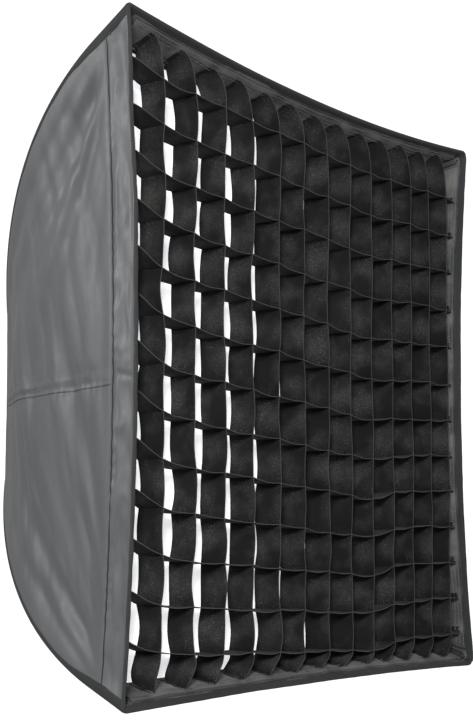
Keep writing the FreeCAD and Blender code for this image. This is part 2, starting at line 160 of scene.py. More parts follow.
# ---- Node trees ----
class Tree:
    """Short calls for adding and joining shader nodes."""

    def __init__(self, node_tree):
        self.tree = node_tree

    def add(self, kind, settings=None, **inputs):
        node = self.tree.nodes.new("ShaderNode" + kind)
        for name, value in (settings or {}).items():
            setattr(node, name, value)
        for name, value in inputs.items():
            self.put(node.inputs[name.replace("_", " ")], value)
        return node

    def put(self, socket, value):
        if isinstance(value, bpy.types.NodeSocket):
            self.tree.links.new(value, socket)
        else:
            socket.default_value = value

    def maths(self, operation, first, second=0.0):
        node = self.add("Math", {"operation": operation})
        self.put(node.inputs[0], first)
        self.put(node.inputs[1], second)
        return node.outputs[0]

    def ramp(self, value, low, high, low_out=0.0, high_out=1.0):
        node = self.add("MapRange", Value=value)
        node.inputs["From Min"].default_value = low
        node.inputs["From Max"].default_value = high
        node.inputs["To Min"].default_value = low_out
        node.inputs["To Max"].default_value = high_out
        return node.outputs["Result"]

    def blend(self, factor, first, second):
        node = self.add("Mix", {"data_type": "RGBA"})
        self.put(node.inputs["Factor"], factor)
        self.put(node.inputs["A"], first)
        self.put(node.inputs["B"], second)
        return node.outputs["Result"]


def start_group(name, inputs, outputs):
    group = bpy.data.node_groups.new(name, "ShaderNodeTree")
    for label, kind, value in inputs:
        socket = group.interface.new_socket(label, in_out="INPUT", socket_type="NodeSocket" + kind)
        if value is not None:
            socket.default_value = value
    for label, kind in outputs:
        group.interface.new_socket(label, in_out="OUTPUT", socket_type="NodeSocket" + kind)
    tree = Tree(group)
    return group, tree, group.nodes.new("NodeGroupInput").outputs, \
        group.nodes.new("NodeGroupOutput").inputs


def make_weave_group():
    """Over and under threads of a plain weave, from coordinates in metres."""
    group, tree, given, result = start_group(
        "plain_weave",
        [("Vector", "Vector", None), ("Thread", "Float", 0.0007), ("Slub", "Float", 0.3)],
        [("Height", "Float"), ("Slubs", "Float")])
    split = tree.add("SeparateXYZ", Vector=given["Vector"])
    turns = tree.maths("DIVIDE", math.pi, given["Thread"])
    warp = tree.maths("SINE", tree.maths("MULTIPLY", split.outputs["X"], turns))
    weft = tree.maths("SINE", tree.maths("MULTIPLY", split.outputs["Y"], turns))
    over = tree.maths("MULTIPLY", warp, weft)
    stretched = tree.add("Mapping", Vector=given["Vector"])
    stretched.inputs["Scale"].default_value = (40.0, 900.0, 40.0)
    slubs = tree.add("TexNoise", Vector=stretched.outputs["Vector"], Scale=1.0, Detail=3.0)
    uneven = tree.maths("MULTIPLY", slubs.outputs["Fac"], given["Slub"])
    tree.put(result["Height"], tree.maths("ADD", tree.maths("MULTIPLY", over, 0.5), uneven))
    tree.put(result["Slubs"], slubs.outputs["Fac"])
    return group


def make_cloud_group():
    """Broad soft unevenness, as handled cloth has, and a finer mottle."""
    group, tree, given, result = start_group(
        "uneven_tone",
        [("Vector", "Vector", None), ("Size", "Float", 0.12)],
        [("Broad", "Float"), ("Fine", "Float")])
    scale = tree.maths("DIVIDE", 1.0, given["Size"])
    broad = tree.add("TexNoise", Vector=given["Vector"], Scale=scale, Detail=3.0, Roughness=0.5)
    fine = tree.add("TexNoise", Vector=given["Vector"], Scale=tree.maths("MULTIPLY", scale, 14.0), Detail=4.0,
                    Roughness=0.65)
    tree.put(result["Broad"], tree.ramp(broad.outputs["Fac"], 0.3, 0.7))
    tree.put(result["Fine"], tree.ramp(fine.outputs["Fac"], 0.3, 0.7))
    return group


def make_lint_group():
    """Fine flecks of lint and dust in loose patches, as a mask."""
    group, tree, given, result = start_group(
        "lint_specks",
        [("Vector", "Vector", None), ("Spacing", "Float", 0.0014), ("Amount", "Float", 0.3)],
        [("Mask", "Float"), ("Dust", "Float")])
    scale = tree.maths("DIVIDE", 1.0, given["Spacing"])
    flecks = tree.add("TexNoise", Vector=given["Vector"], Scale=scale, Detail=3.0, Roughness=0.7)
    patches = tree.add("TexNoise", Vector=given["Vector"], Scale=tree.maths("MULTIPLY", scale, 0.035), Detail=4.0)
    where = tree.ramp(patches.outputs["Fac"], 0.40, 0.64)
    specks = tree.ramp(flecks.outputs["Fac"], 0.54, 0.70)
    tree.put(result["Mask"], tree.maths("MULTIPLY", tree.maths("MULTIPLY", specks, where), given["Amount"]))
    tree.put(result["Dust"], where)
    return group


def make_scratch_group():
    """Rubbed spots and fine scratches on hard parts."""
    group, tree, given, result = start_group(
        "rubbed_metal",
        [("Vector", "Vector", None), ("Amount", "Float", 0.4)],
        [("Rubbed", "Float"), ("Grain", "Float")])
    spots = tree.add("TexNoise", Vector=given["Vector"], Scale=70.0, Detail=6.0, Roughness=0.7)
    grain = tree.add("TexNoise", Vector=given["Vector"], Scale=900.0, Detail=2.0)
    tree.put(result["Rubbed"], tree.maths("MULTIPLY", tree.ramp(spots.outputs["Fac"], 0.58, 0.72), given["Amount"]))
    tree.put(result["Grain"], grain.outputs["Fac"])
    return group


GROUPS = {
    "weave": make_weave_group(),
    "tone": make_cloud_group(),
    "lint": make_lint_group(),
    "rubbed": make_scratch_group(),
}


def start_material(name):
    material = bpy.data.materials.new(name)
    material.use_nodes = True
    material.node_tree.nodes.clear()
    tree = Tree(material.node_tree)
    shader = tree.add("BsdfPrincipled")
    output = tree.add("OutputMaterial")
    tree.put(output.inputs["Surface"], shader.outputs["BSDF"])
    coordinates = tree.add("TexCoord")
    return material, tree, shader, coordinates


def use_group(tree, name, vector, **values):
    node = tree.add("Group", {"node_tree": GROUPS[name]})
    tree.put(node.inputs["Vector"], vector)
    for label, value in values.items():
        tree.put(node.inputs[label], value)
    return node.outputs


def bump(tree, shader, height, strength, distance):
    node = tree.add("Bump", Height=height, Strength=strength, Distance=distance)
    tree.put(shader.inputs["Normal"], node.outputs["Normal"])


def shade(value, tint=(1.0, 1.0, 1.0)):
    return (value * tint[0], value * tint[1], value * tint[2], 1.0)


NEUTRAL_COOL = (0.97, 1.0, 1.04)


def cloth_material(name, dark, light, thread, roughness, sheen, lint=0.0, fuzz=0.0, edge=None, bump_depth=0.00012,
                   seam=None, cell=None):
    """Woven cloth on its own UV map in metres: broad tone, threads and lint.

    edge paints a highlight along a cut edge, seam a dark sewn line that on the shell is also the lapped edge's
    painted shadow, and cell the pitch at which dust shows only half way between crossings, so that the crossings keep
    a painted shade.
    """
    material, tree, shader, coordinates = start_material(name)
    flat, solid = coordinates.outputs["UV"], coordinates.outputs["Object"]
    tone = use_group(tree, "tone", solid, Size=0.16)
    weave = use_group(tree, "weave", flat, Thread=thread)
    mixed = tree.maths("ADD", tree.maths("MULTIPLY", tone["Broad"], 0.5), tree.maths("MULTIPLY", tone["Fine"], 0.25))
    mixed = tree.maths("ADD", mixed, tree.maths("MULTIPLY", weave["Slubs"], 0.25))
    colour = tree.blend(mixed, shade(dark, NEUTRAL_COOL), shade(light, NEUTRAL_COOL))
    height = weave["Height"]
    if fuzz:
        loops = tree.add("TexVoronoi", Vector=solid, Scale=620.0)
        colour = tree.blend(tree.maths("MULTIPLY", loops.outputs["Distance"], fuzz), colour, shade(light * 2.2))
        height = tree.maths("ADD", height, tree.maths("MULTIPLY", loops.outputs["Distance"], 2.5))
    if lint:
        specks = use_group(tree, "lint", solid, Amount=lint)
        dust_and_crossing_shade = tree.maths("MULTIPLY", specks["Dust"], 0.6)
        # Real dust patches; on the grid they show only half way between crossings, so the crossings stay darker as
        # painted shade.
        if cell:
            along = tree.maths("MULTIPLY", tree.add("SeparateXYZ", Vector=flat).outputs["X"], math.pi / cell)
            middle = tree.maths("POWER", tree.maths("ABSOLUTE", tree.maths("SINE", along)), 1.5)
            dust_and_crossing_shade = tree.maths("MULTIPLY", middle, tree.maths("ADD", dust_and_crossing_shade, 0.10))
        colour = tree.blend(dust_and_crossing_shade, colour, shade(light * 3.2, (1.03, 1.0, 0.96)))
        colour = tree.blend(specks["Mask"], colour, shade(0.20))
    # A dark line along a seam: sewn thread, and on the shell also the painted shadow of the lapped edge.
    if seam:
        axis, line, half_width = seam
        off = tree.maths("ABSOLUTE", tree.maths("SUBTRACT", tree.add("SeparateXYZ", Vector=flat).outputs[axis], line))
        colour = tree.blend(tree.ramp(off, half_width * 1.5, half_width * 0.7), colour, shade(0.012))
    # Painted highlight: a lighter band along the cut edge, where light catches the fibres.
    if edge:
        line, highlight_tone, width = edge
        across = tree.add("SeparateXYZ", Vector=flat).outputs["Y"]
        if width:
            across = tree.maths("MINIMUM", across, tree.maths("SUBTRACT", width, across))
        colour = tree.blend(tree.ramp(across, line, 0.0), colour, shade(highlight_tone))
    tree.put(shader.inputs["Base Color"], colour)
    shader.inputs["Sheen Weight"].default_value = sheen
    shader.inputs["Sheen Roughness"].default_value = 0.45
    shader.inputs["Specular IOR Level"].default_value = 0.30 if roughness < 0.6 else 0.12
    tree.put(shader.inputs["Roughness"], tree.ramp(tone["Fine"], 0.0, 1.0, roughness - 0.05, roughness + 0.07))
    bump(tree, shader, height, 0.5, bump_depth)
    return material


def diffuser_material(name, painted_glow):
    """White translucent cloth, a little darker in broad random patches; its emission is a painted glow that stands in
    for the lamp behind it.
    """
    material, tree, shader, coordinates = start_material(name)
    flat, solid = coordinates.outputs["UV"], coordinates.outputs["Object"]
    tone = use_group(tree, "tone", solid, Size=0.09)
    weave = use_group(tree, "weave", flat, Thread=0.0006)
    colour = tree.blend(tone["Broad"], shade(0.80), shade(0.92))
    tree.put(shader.inputs["Base Color"], colour)
    # Painted glow: the cloth gives off light in place of the lamp inside the box, dimmer in broad random patches.
    tree.put(shader.inputs["Emission Color"], tree.blend(tone["Broad"], shade(0.80, NEUTRAL_COOL), shade(1.0)))
    shader.inputs["Emission Strength"].default_value = painted_glow
    shader.inputs["Roughness"].default_value = 0.8
    bump(tree, shader, weave["Height"], 0.3, 0.0001)
    return material


def silver_material():
    """Pebbled silver coating."""
    material, tree, shader, coordinates = start_material("silver_lining")
    solid = coordinates.outputs["Object"]
    tone = use_group(tree, "tone", solid, Size=0.07)
    pebbles = tree.add("TexVoronoi", Vector=solid, Scale=420.0)
    tree.put(shader.inputs["Base Color"], tree.blend(tone["Broad"], shade(0.62, NEUTRAL_COOL), shade(0.80, NEUTRAL_COOL)))
    shader.inputs["Metallic"].default_value = 0.85
    tree.put(shader.inputs["Roughness"], tree.ramp(tone["Fine"], 0.0, 1.0, 0.28, 0.42))
    bump(tree, shader, pebbles.outputs["Distance"], 0.6, 0.0006)
    return material


def hard_material(name, colour, worn, metallic, roughness, rubbed, coat=0.0):
    """Painted, plated or moulded parts, with rubbed spots and fine grain."""
    material, tree, shader, coordinates = start_material(name)
    marks = use_group(tree, "rubbed", coordinates.outputs["Object"], Amount=rubbed)
    tone = use_group(tree, "tone", coordinates.outputs["Object"], Size=0.05)
    base = tree.blend(tone["Broad"], colour, tuple(0.8 * part for part in colour[:3]) + (1.0,))
    tree.put(shader.inputs["Base Color"], tree.blend(marks["Rubbed"], base, worn))
    shader.inputs["Metallic"].default_value = metallic
    shader.inputs["Coat Weight"].default_value = coat
    tree.put(shader.inputs["Roughness"], tree.ramp(tone["Fine"], 0.0, 1.0, roughness - 0.06, roughness + 0.08))
    bump(tree, shader, marks["Grain"], 0.25, 0.00008)
    return material


def turned_material(name, colour, pitch):
    """Turned metal: fine rings round the bore's axis."""
    material, tree, shader, coordinates = start_material(name)
    solid = coordinates.outputs["Object"]
    split = tree.add("SeparateXYZ", Vector=solid)
    radius = tree.maths("SQRT", tree.maths("ADD", tree.maths("POWER", split.outputs["X"], 2.0),
                                           tree.maths("POWER", split.outputs["Z"], 2.0)))
    along = tree.maths("ADD", radius, split.outputs["Y"])
    rings = tree.maths("SINE", tree.maths("MULTIPLY", along, 2.0 * math.pi / pitch))
    tone = use_group(tree, "tone", solid, Size=0.04)
    marks = use_group(tree, "rubbed", solid, Amount=0.35)
    base = tree.blend(tone["Broad"], colour, tuple(0.85 * part for part in colour[:3]) + (1.0,))
    tree.put(shader.inputs["Base Color"], tree.blend(marks["Rubbed"], base, shade(0.45)))
    shader.inputs["Metallic"].default_value = 1.0
    tree.put(shader.inputs["Roughness"], tree.ramp(rings, -1.0, 1.0, 0.24, 0.34))
    bump(tree, shader, rings, 0.15, 0.00005)
    return material


def floor_material():
    """Pale floor that the camera sees as bright as the backdrop."""
    material, tree, shader, coordinates = start_material("floor")
    tone = use_group(tree, "tone", coordinates.outputs["Object"], Size=1.5)
    tree.put(shader.inputs["Base Color"], tree.blend(tone["Broad"], shade(0.52), shade(0.56)))
    shader.inputs["Roughness"].default_value = 0.9
    seen = tree.add("LightPath")
    lit = tree.add("Emission", Strength=1.15)
    mix = tree.add("MixShader")
    tree.put(mix.inputs["Fac"], seen.outputs["Is Camera Ray"])
    tree.put(mix.inputs[1], shader.outputs["BSDF"])
    tree.put(mix.inputs[2], lit.outputs["Emission"])
    output = material.node_tree.nodes["Material Output"]
    tree.put(output.inputs["Surface"], mix.outputs["Shader"])
    return material


MATERIALS = {
    # shell_nylon's seam line is both the stitching and a painted shadow of the lapped panel edge.
    "shell_nylon": cloth_material("shell_nylon", 0.070, 0.096, 0.0008, 0.47, 0.04, seam=("X", 0.0, 0.0012)),
    # edge=(...) paints a highlight along the cut edges of the lip, binding, border tape and grid strips.
    "lip_nylon": cloth_material("lip_nylon", 0.072, 0.098, 0.0008, 0.46, 0.04, edge=(0.0010, 0.18, None),
                                seam=("Y", STITCH_DEPTH, 0.0008)),
    "silver_lining": silver_material(),
    "webbing": cloth_material("webbing", 0.018, 0.034, 0.0012, 0.7, 0.05, lint=0.25, bump_depth=0.0003),
    "binding": cloth_material("binding", 0.020, 0.040, 0.0011, 0.65, 0.05, edge=(0.0012, 0.12, 0.016),
                              bump_depth=0.0003),
    "corner_tape": cloth_material("corner_tape", 0.014, 0.030, 0.0011, 0.6, 0.04, bump_depth=0.0003),
    "border_tape": cloth_material("border_tape", 0.028, 0.056, 0.0013, 0.85, 0.05, lint=0.4, fuzz=0.25,
                                  edge=(0.0014, 0.11, 0.042), bump_depth=0.0005),
    "loop_tape": cloth_material("loop_tape", 0.022, 0.040, 0.0016, 0.9, 0.10, lint=0.4, fuzz=0.4, bump_depth=0.0005),
    "hook_tape": cloth_material("hook_tape", 0.018, 0.032, 0.0014, 0.75, 0.05, lint=0.3, fuzz=0.3, bump_depth=0.0005),
    # grid_fabric: cell=CELL lightens the dust only mid-cell, a painted shade at the strips' crossings.
    "grid_fabric": cloth_material("grid_fabric", 0.003, 0.010, 0.0007, 0.92, 0.015, lint=0.45,
                                  edge=(0.0009, 0.056, None), cell=CELL),
    "elastic": cloth_material("elastic", 0.025, 0.045, 0.0011, 0.8, 0.05, bump_depth=0.0003),
    "thread": cloth_material("thread", 0.015, 0.030, 0.0004, 0.6, 0.03),
    "pale_thread": cloth_material("pale_thread", 0.110, 0.160, 0.0004, 0.6, 0.03),
    # Both diffuser sheets glow with painted light in place of the lamp inside the box.
    "white_diffuser": diffuser_material("white_diffuser", 0.75),
    "white_baffle": diffuser_material("white_baffle", 0.2),
    "rod_steel": hard_material("rod_steel", shade(0.55), shade(0.35), 1.0, 0.28, 0.5),
    "zinc_screws": hard_material("zinc_screws", (0.62, 0.60, 0.56, 1.0), shade(0.4), 1.0, 0.35, 0.4),
    "ring_metal": hard_material("ring_metal", shade(0.022), shade(0.20), 0.0, 0.42, 0.35, coat=0.3),
    "insert_metal": turned_material("insert_metal", shade(0.66), 0.0006),
    "black_plastic": hard_material("black_plastic", shade(0.018), shade(0.05), 0.0, 0.5, 0.5),
    "white_nylon": hard_material("white_nylon", (0.80, 0.79, 0.74, 1.0), shade(0.6), 0.0, 0.45, 0.2),
    "floor": floor_material(),
}


def dress_frame():
    """The frame's own hard parts keep their shape and take their finish by slot."""
    for node, obj in frame["nodes"].items():
        material = MATERIALS.get(SLOTS[node])
        for place in obj.material_slots:
            place.material = material
        if not obj.material_slots:
            obj.data.materials.append(material)


# ---- The box's outline ----
def curve_centre():
    side_line = FRONT_HALF - CURVE_RADIUS / math.cos(SIDE_ANGLE)
    back_line = BACK_HALF - CURVE_RADIUS / math.cos(BACK_ANGLE)
    slope_side, slope_back = math.tan(SIDE_ANGLE), math.tan(BACK_ANGLE)
    depth = (back_line + BACK_DEPTH * slope_back - side_line) / (slope_back - slope_side)
    return depth, side_line - depth * slope_side


CURVE_DEPTH, CURVE_HALF = curve_centre()
CURVE_START = CURVE_DEPTH + CURVE_RADIUS * math.sin(SIDE_ANGLE)
CURVE_END = CURVE_DEPTH + CURVE_RADIUS * math.sin(BACK_ANGLE)
REAR_DEPTH = BACK_DEPTH - (REAR_HALF - BACK_HALF) / math.tan(BACK_ANGLE)
GRID_HALF = FRONT_HALF - STRIP_FRONT * math.tan(SIDE_ANGLE) - BORDER_INSET / math.cos(SIDE_ANGLE)
PITCH = 2.0 * GRID_HALF / GRID_CELLS
TURNS = {side: Matrix.Rotation(math.radians(turn), 3, "Y") for side, turn in SIDE_TURN.items()}
SEEDS = {"top": 3.0, "right": 11.0, "bottom": 19.0, "left": 27.0}


def half_at(depth, inset=0.0):
    """Half of the box's width at a depth, on a surface that lies inside the cloth by inset."""
    if depth < CURVE_START:
        return FRONT_HALF - depth * math.tan(SIDE_ANGLE) - inset / math.cos(SIDE_ANGLE)
    if depth > CURVE_END:
        return BACK_HALF + (BACK_DEPTH - depth) * math.tan(BACK_ANGLE) - inset / math.cos(BACK_ANGLE)
    return CURVE_HALF + math.sqrt((CURVE_RADIUS - inset) ** 2 - (depth - CURVE_DEPTH) ** 2)


def bow_at(side, depth, share):
    """How far the side lies inside the line between its corners; share runs from -1 to 1 along it."""
    bow = max(LEAST_BOW, EDGE_BOW[side] * (1.0 - depth / BOW_END))
    return bow * (1.0 - share * share)


def soft(value, low, high):
    """0 below low, 1 above high, and a smooth change between."""
    share = min(1.0, max(0.0, (value - low) / (high - low)))
    return share * share * (3.0 - 2.0 * share)


def fold(along, across, length, width, seed):
    """Long folds: noise that is stretched along one direction."""
    return noise.noise(Vector((along / length, across / width, seed)))


def lip_dent(side, depth, place):
    """Slanting and curled puckers between the bound edge and the stitching."""
    seed = SEEDS[side]
    calm = soft(depth, 0.003, 0.013) * (1.0 - soft(depth, 0.040, 0.047))
    dent = 0.0040 * (0.5 + fold(place + 1.4 * depth, depth - place * 0.22, 0.075, 0.024, seed + 1.0))
    curl = Vector((place / 0.040, depth / 0.020, seed + 2.0))
    dent += 0.0030 * math.hypot(noise.noise(curl + noise.noise_vector(curl * 0.6) * 0.8), 0.12)
    pucker = 0.0004 * soft(depth, 0.038, 0.044) * (1.0 + math.sin(place * 290.0 + 3.0 * math.sin(place * 47.0)))
    pucker += 0.0009 * math.exp(-((depth - STITCH_DEPTH) / 0.0012) ** 2)
    if side in SEAM_PLACE:
        pucker += 0.0014 * math.exp(-((place - SEAM_PLACE[side] * FRONT_HALF - 0.2 * depth) / 0.004) ** 2)
    return max(0.0, calm * dent + pucker * soft(depth, 0.003, 0.010))


def panel_dent(side, depth, place):
    """Folds that fan out of both front corners, broad hollows, and fine crumples."""
    seed = SEEDS[side]
    dent = 0.0
    for corner in (-1.0, 1.0):
        away_depth = depth + 0.03
        away_place = FRONT_HALF + 0.03 - corner * place
        distance = math.hypot(away_depth, away_place)
        angle = math.atan2(away_depth, away_place)
        strength = 0.0095 * soft(distance, 0.04, 0.16) * (1.0 - soft(distance, 0.34, 0.72))
        dent += strength * fold(distance, angle * 0.30, 0.40, 0.034, seed + corner * 3.7)
    slant = place * 0.96 + depth * 0.28
    across = depth * 0.96 - place * 0.28
    dent += 0.0045 * fold(slant, across, 0.30, 0.036, seed + 9.0)
    dent += 0.0036 * noise.noise(Vector((place / 0.17, depth / 0.12, seed + 5.0)))
    dent += 0.0007 * fold(slant, across, 0.110, 0.013, seed + 13.0)
    if side in SEAM_PLACE:
        off = place - SEAM_PLACE[side] * half_at(depth)
        near = math.exp(-(off / 0.018) ** 2)
        dent += near * 0.0030 * (0.5 + noise.noise(Vector((depth / 0.012, off / 0.03, seed + 17.0))))
        dent += 0.0022 * math.exp(-(off / 0.0024) ** 2)
    return 0.0085 + dent


def dent_at(side, depth, place):
    """Inward dent of the skin, calm at hems, corners and the rear opening."""
    if depth < LIP_DEPTH:
        return lip_dent(side, max(0.0, depth), place) * soft(half_at(depth) - abs(place), 0.004, 0.03)
    edge = soft(half_at(depth) - abs(place), 0.004, 0.06) * soft(depth, LIP_DEPTH - 0.004, 0.105)
    edge *= 1.0 - soft(depth, REAR_DEPTH - 0.05, REAR_DEPTH)
    dent = panel_dent(side, depth, place)
    return edge * 0.5 * (dent + math.hypot(dent, 0.004))


def reach(side, depth, place, inset=0.0):
    """Distance of the skin from the bore's axis."""
    half = half_at(depth, inset)
    return half - bow_at(side, depth, place / half) - dent_at(side, depth, place)


def skin(side, depth, place, inset=0.0):
    """A point of a side; its ends turn round the box's corner, tighter towards the rear."""
    half = half_at(depth, inset)
    on_left = side == "left" or (side == "top" and place < 0.0) or (side == "bottom" and place > 0.0)
    front_radius = 0.003 if on_left else 0.012
    radius = 0.004 + front_radius * (1.0 - soft(depth, 0.0, 0.09)) - min(0.003, max(0.0, inset))
    height = reach(side, depth, place, inset)
    past = abs(place) - (half - radius)
    if past > 0.0:
        turn = past / radius * math.pi / 4.0
        place = math.copysign(half - radius + radius * math.sin(turn), place)
        height -= radius * (1.0 - math.cos(turn))
    return TURNS[side] @ Vector((place, FRONT_Y + depth, height))


def outward(side):
    return TURNS[side] @ Vector((0.0, 0.0, 1.0))


# ---- Cloth pieces ----
def deselect():
    for obj in bpy.context.selected_objects:
        obj.select_set(False)


def only(obj):
    deselect()
    obj.select_set(True)
    bpy.context.view_layer.objects.active = obj


def finish_piece(piece, material, body, node=None, thickness=0.0, offset=-1.0, smooth=60.0):
    """Gives a cloth its thickness, finish and place in the frame."""
    piece.data.materials.clear()
    piece.data.materials.append(MATERIALS[material])
    only(piece)
    if thickness:
        solid = piece.modifiers.new("thickness", "SOLIDIFY")
        solid.thickness = thickness
        solid.offset = offset
        bpy.ops.object.modifier_apply(modifier=solid.name)
    bpy.ops.object.shade_smooth_by_angle(angle=math.radians(smooth))
    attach(piece, body)
    if node:
        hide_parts(node)


def lay_cloth(name, columns, rows, size, surface):
    """A flat grid of the given size whose points are laid on surface(u, v), with its UV map in metres."""
    deselect()
    bpy.ops.mesh.primitive_grid_add(x_subdivisions=columns, y_subdivisions=rows, size=2.0)
    piece = bpy.context.object
    piece.name = name
    piece.data.name = name
    for point in piece.data.vertices:
        point.co = surface((point.co.x + 1.0) / 2.0, (point.co.y + 1.0) / 2.0)
    for corner in piece.data.uv_layers.active.data:
        corner.uv = (corner.uv[0] * size[0], corner.uv[1] * size[1])
    return piece


def mesh_piece(name, points, faces, flat=None):
    """An object from points and faces, with its UV map in metres."""
    mesh = bpy.data.meshes.new(name)
    mesh.from_pydata([tuple(point) for point in points], [], faces)
    layer = mesh.uv_layers.new(name="UVMap")
    for loop in mesh.loops:
        layer.data[loop.index].uv = flat[loop.vertex_index] if flat else (0.0, 0.0)
    mesh.update()
    piece = bpy.data.objects.new(name, mesh)
    bpy.context.scene.collection.objects.link(piece)
    return piece


def join(pieces, name):
    deselect()
    for piece in pieces:
        piece.select_set(True)
    bpy.context.view_layer.objects.active = pieces[0]
    bpy.ops.object.join()
    pieces[0].name = name
    pieces[0].data.name = name
    return pieces[0]


def sew(name, body, rows, material="thread", half=THREAD_HALF):
    """Rows of thread: each is a number of stitches and a path that gives a point and its outward direction."""
    points, faces = [], []
    for count, path in rows:
        for number in range(count):
            (here, out), (there, _) = path((number + 0.15) / count), path((number + 0.85) / count)
            wide = (there - here).cross(out).normalized() * half
            middle = (here + there) / 2.0
            base = len(points)
            points += [here, middle - wide, there, middle + wide, middle + out * half]
            faces += [(base + first, base + (first + 1) % 4, base + 4) for first in range(4)]
    piece = mesh_piece(name, points, faces)
    finish_piece(piece, material, body, smooth=80.0)


# ---- Shell ----
def panel_depth(share, front):
    return front + share * (REAR_DEPTH - front)


def panel_area(front, low, high):
    """Flat area of a panel between two shares of its half width."""
    steps = 40
    area = 0.0
    for step in range(steps):
        here, after = (panel_depth((step + more) / steps, front) for more in (0.0, 1.0))
        slant = math.hypot(after - here, half_at(after) - half_at(here))
        area += slant * (half_at(here) + half_at(after)) / 2.0 * (high - low)
    return area


def make_shell_panel(name, side, low, high):
    """low and high are shares of the half width; an upper panel laps over the lower one at their seam."""
    front = LIP_DEPTH - 0.002
    raised = "upper" in name

    def surface(u, v):
        depth = panel_depth(v, front)
        half = half_at(depth)
        place = max(-half, min(half, (low + u * (high - low)) * half))
        under_lip = 0.0011 * (1.0 - soft(depth, LIP_DEPTH, LIP_DEPTH + 0.006))
        lap = 0.0
        if raised:
            seam = SEAM_PLACE[side] * half
            place += math.copysign(SEAM_LAP, seam) * (1.0 - soft(abs(place - seam), 0.0, 0.02))
            lap = 0.0007 * (1.0 - soft(abs(place - seam), 0.008, 0.011)) * soft(depth, LIP_DEPTH, LIP_DEPTH + 0.012)
        return skin(side, depth, place, under_lip) + outward(side) * lap

    width = (high - low) * FRONT_HALF
    piece = lay_cloth("shell_" + name, int(110 * (high - low)), 130, (width, PANEL_LENGTH), surface)
    finish_piece(piece, "shell_nylon", "softbox", "shell_panel_" + name, CLOTH_THICKNESS)
    panel_area(front, low, high)


def make_lip(side):
    """The front band, sewn over the panel's front edge."""
    def surface(u, v):
        depth = v * (LIP_DEPTH + 0.0006)
        place = (2.0 * u - 1.0) * half_at(depth)
        return skin(side, min(depth, LIP_DEPTH - 1e-6), place) + Vector((0.0, max(0.0, depth - LIP_DEPTH), 0.0))

    width = 2.0 * FRONT_HALF
    piece = lay_cloth("lip_cloth_" + side, 300, 16, (width, LIP_DEPTH), surface)
    finish_piece(piece, "lip_nylon", "softbox", "lip_" + side, CLOTH_THICKNESS)


def make_lining(side):
    front = DIFFUSER_DEPTH + DIFFUSER_TAPE + 0.003

    def surface(u, v):
        depth = panel_depth(v, front)
        return skin(side, depth, (2.0 * u - 1.0) * half_at(depth, LINING_INSET), LINING_INSET)

    piece = lay_cloth("silver_" + side, 130, 80, (2.0 * FRONT_HALF, PANEL_LENGTH), surface)
    finish_piece(piece, "silver_lining", "softbox", "silver_lining_" + side, 0.0003)
    panel_area(front, -1.0, 1.0)


def make_bands(name, node, material, body, front, rear, inset, thickness, ripple=0.0):
    """A straight tape inside the box, on all four sides."""
    pieces = []
    for side in SIDE_TURN:
        def surface(u, v, side=side):
            depth = front + v * (rear - front)
            place = (2.0 * u - 1.0) * (half_at(depth, inset) - CORNER_GAP)
            wave = ripple * (1.0 + noise.noise(Vector((place / 0.03, depth / 0.015, SEEDS[side] + inset * 900.0))))
            return TURNS[side] @ Vector((place, FRONT_Y + depth, reach(side, depth, place, inset) - wave))

        pieces.append(lay_cloth(name, 200, 8, (2.0 * FRONT_HALF, rear - front), surface))
    piece = join(pieces, name)
    finish_piece(piece, material, body, node, thickness)


def make_front_binding():
    """Folded tape over the lip's edge: outer leg, nose and inner leg, as depth and inset."""
    legs = [(0.0020, -0.0002), (0.0016, -0.0006), (0.0004, -0.0009), (-0.0012, -0.0005), (-0.0018, 0.0008),
            (-0.0012, 0.0024), (0.0006, 0.0031), (0.0030, 0.0027), (0.0052, 0.0031), (0.0064, 0.0029),
            (0.0070, 0.0024)]
    last = len(legs) - 1
    pieces = []
    for side in SIDE_TURN:
        def surface(u, v, side=side):
            index = min(last, round(v * last))
            depth, inset = legs[index]
            place = (2.0 * u - 1.0) * half_at(depth, max(0.0, inset))
            wave = 0.0006 * noise.noise(Vector((place / 0.018, index * 0.3, SEEDS[side])))
            wave += 0.0016 * noise.noise(Vector((place / 0.11, 1.0, SEEDS[side])))
            return skin(side, depth, place, inset) + Vector((0.0, wave, 0.0)) + outward(side) * wave * 0.5

        pieces.append(lay_cloth("edge_binding", 320, last, (2.0 * FRONT_HALF, BINDING_WIDTH), surface))
    piece = join(pieces, "edge_binding")
    finish_piece(piece, "binding", "softbox", "front_edge_binding", 0.0006, smooth=50.0)


def make_rear_binding():
    """Folded tape over the shell's rear edge, as distances along the panel and out of it."""
    legs = [(-0.010, 0.0004), (-0.006, 0.0008), (0.0, 0.0008), (0.0016, 0.0), (0.0016, -0.0016), (0.0, -0.0026),
            (-0.006, -0.0024), (-0.009, -0.0022)]
    last = len(legs) - 1
    sine, cosine = math.sin(BACK_ANGLE), math.cos(BACK_ANGLE)
    pieces = []
    for side in SIDE_TURN:
        def surface(u, v, side=side):
            along, out = legs[min(last, round(v * last))]
            depth = REAR_DEPTH + along * cosine + out * sine
            half = REAR_HALF - along * sine + out * cosine
            place = (2.0 * u - 1.0) * half
            height = half - LEAST_BOW * (1.0 - (place / half) ** 2)
            height += 0.0004 * noise.noise(Vector((place / 0.02, along * 90.0, SEEDS[side])))
            return TURNS[side] @ Vector((place, FRONT_Y + depth, height))

        pieces.append(lay_cloth("rear_binding", 60, last, (2.0 * REAR_HALF, 0.024), surface))
    piece = join(pieces, "rear_binding")
    finish_piece(piece, "binding", "softbox", "rear_edge_binding", 0.0005, smooth=50.0)


def rod_place(corner_turn, depth):
    """The rod's middle and direction at a depth in the front part of a corner."""
    slope = math.sqrt(2.0) * math.tan(SIDE_ANGLE)
    radius = math.sqrt(2.0) * FRONT_HALF - depth * slope - ROD_INSET * math.sqrt(1.0 + slope * slope)
    turn = Matrix.Rotation(math.radians(corner_turn), 3, "Y")
    return turn @ Vector((0.0, FRONT_Y + depth, radius)), turn @ Vector((0.0, 1.0, -slope)).normalized()


